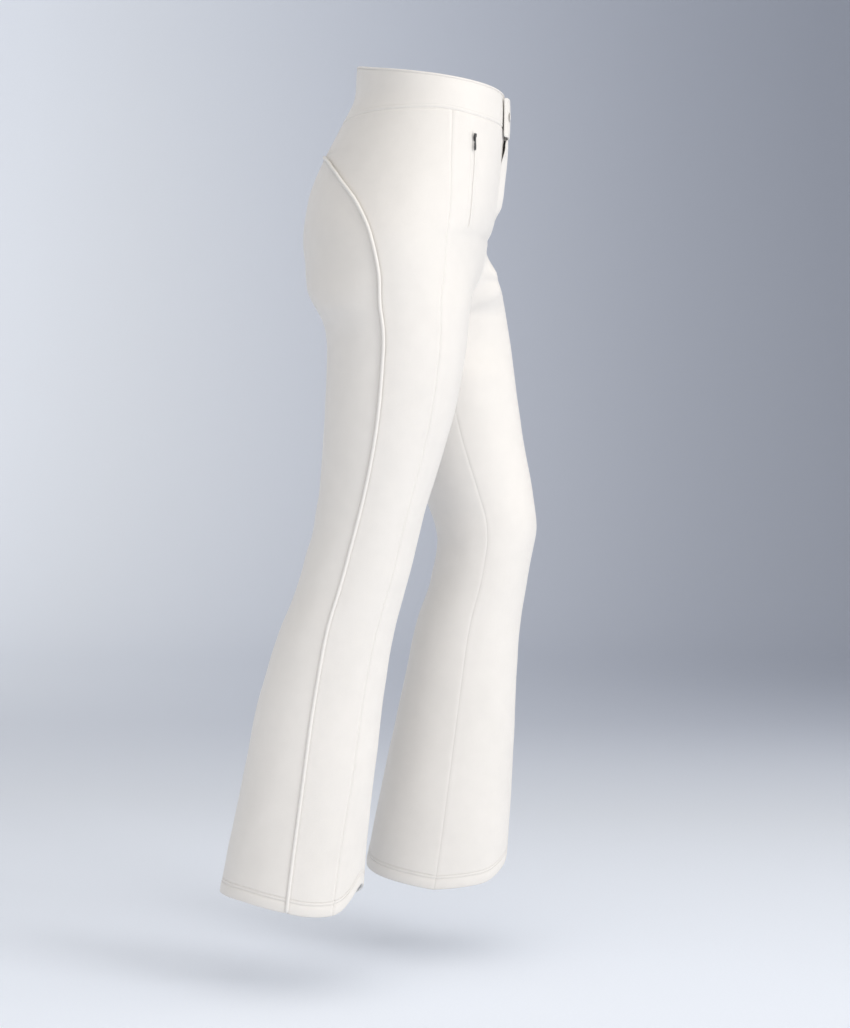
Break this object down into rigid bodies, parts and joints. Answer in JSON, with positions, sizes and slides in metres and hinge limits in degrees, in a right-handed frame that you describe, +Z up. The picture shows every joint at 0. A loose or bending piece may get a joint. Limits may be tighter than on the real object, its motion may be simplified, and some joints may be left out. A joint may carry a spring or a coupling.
{
  "type": "ski pants",
  "caption": "Slim flared softshell ski pants in mid stride with contoured waistband, snap tab fly, zip pockets, corded side seams and snow gaiters",
  "frame": {"origin": "centre of the waist opening, at the height of the waistband's side", "axes": "+Z up, the front faces -Y, the wearer's right side is at -X"},
  "size_m": [0.3436, 0.3876, 1.0205],
  "materials": {
    "softshell": "smooth off-white woven softshell, matt with a faint sheen",
    "piping": "off-white corded piping, tightly covered",
    "lining": "pale brushed lining",
    "elastic": "grey woven elastic with grip lines",
    "ribbon": "pale grey woven ribbon",
    "zip_tape": "off-white woven zip tape with a moulded coil",
    "snap_metal": "brushed nickel",
    "snap_paint": "off-white enamel",
    "slider_paint": "dark grey enamel"
  },
  "bodies": {
    "garment": {"care_label": "ribbon", "fly_shield": "lining", "fly_zip_left": "zip_tape", "fly_zip_right": "zip_tape", "left_back_panel": "softshell", "left_front_panel": "softshell", "left_gaiter": "lining", "left_gaiter_elastic": "elastic", "left_hanger_loop": "ribbon", "left_hem_facing": "lining", "left_pocket_bag": "lining", "left_pocket_zip_front": "zip_tape", "left_pocket_zip_rear": "zip_tape", "left_side_panel": "softshell", "left_side_piping": "piping", "right_back_panel": "softshell", "right_front_panel": "softshell", "right_gaiter": "lining", "right_gaiter_elastic": "elastic", "right_hanger_loop": "ribbon", "right_hem_facing": "lining", "right_pocket_bag": "lining", "right_pocket_zip_front": "zip_tape", "right_pocket_zip_rear": "zip_tape", "right_side_panel": "softshell", "right_side_piping": "piping", "snap_stud": "snap_metal", "waist_grip_elastic": "elastic", "waistband": "softshell", "waistband_facing": "lining"},
    "waist_tab": {"waist_tab": "softshell", "snap_socket": "snap_metal", "snap_cap": "snap_paint"},
    "fly_flap": {"fly_flap": "softshell"},
    "fly_slider": {"fly_slider": "slider_paint"},
    "fly_pull": {"fly_pull": "slider_paint"},
    "right_pocket_slider": {"right_pocket_slider": "slider_paint"},
    "right_pocket_pull": {"right_pocket_pull": "slider_paint"},
    "left_pocket_slider": {"left_pocket_slider": "slider_paint"},
    "left_pocket_pull": {"left_pocket_pull": "slider_paint"}
  },
  "joints": [
    {"name": "waist_tab_swing", "type": "hinge", "parent": "garment", "child": "waist_tab", "pos_m": [0.023, -0.08933, -0.0273], "axis": [0, 0, 1], "range_deg": [0, 140]},
    {"name": "fly_flap_swing", "type": "hinge", "parent": "garment", "child": "fly_flap", "pos_m": [0.0135, -0.08934, -0.0765], "axis": [0, -0.0824, 0.9966], "range_deg": [0, 150]},
    {"name": "fly_zip", "type": "slide", "parent": "garment", "child": "fly_slider", "axis": [0, 0.0841, -0.9965], "range_m": [0, 0.056]},
    {"name": "fly_pull_lift", "type": "hinge", "parent": "fly_slider", "child": "fly_pull", "pos_m": [0, -0.08923, -0.0762], "axis": [-1, 0, 0], "range_deg": [0, 52.5]},
    {"name": "right_pocket_zip", "type": "slide", "parent": "garment", "child": "right_pocket_slider", "axis": [-0.0649, 0.0361, -0.9972], "range_m": [0, 0.096]},
    {"name": "right_pocket_pull_lift", "type": "hinge", "parent": "right_pocket_slider", "child": "right_pocket_pull", "pos_m": [-0.10817, -0.05032, -0.07864], "axis": [-0.7722, 0.6312, 0.0731], "range_deg": [0, 150]},
    {"name": "left_pocket_zip", "type": "slide", "parent": "garment", "child": "left_pocket_slider", "axis": [0.0649, 0.0361, -0.9972], "range_m": [0, 0.096]},
    {"name": "left_pocket_pull_lift", "type": "hinge", "parent": "left_pocket_slider", "child": "left_pocket_pull", "pos_m": [0.10817, -0.05032, -0.07864], "axis": [-0.7722, -0.6312, -0.0731], "range_deg": [0, 150]}
  ],
  "couplings": [
    {"joint": "fly_pull_lift", "follows": "fly_flap_swing", "ratio": 0.35}
  ]
}
